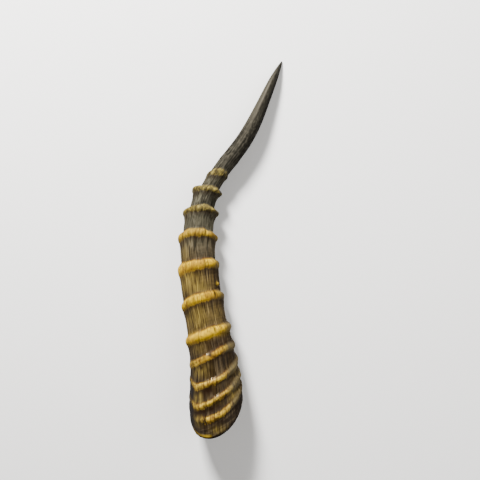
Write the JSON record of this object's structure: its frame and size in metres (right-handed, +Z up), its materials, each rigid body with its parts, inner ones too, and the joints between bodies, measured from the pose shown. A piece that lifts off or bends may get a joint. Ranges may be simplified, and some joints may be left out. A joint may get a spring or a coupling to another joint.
{
  "type": "blesbok horn",
  "caption": "Curved antelope horn sheath with raised rings along its lower two thirds, a smooth pointed tip and a hollow base cut at a slant.",
  "frame": {"origin": "on the floor, under the middle of the horn's bounding box as it lies on its inner side", "axes": "+Y from the open base to the tip, +X towards the side that the tip leans to, +Z up, out of the horn's outer face"},
  "size_m": [0.0861, 0.3071, 0.0401],
  "materials": {
    "horn keratin": "polished, yellow ochre on the rings, dark brown between them and grey-black at the tip"
  },
  "bodies": {
    "root": {"horn": "horn keratin"}
  },
  "joints": []
}
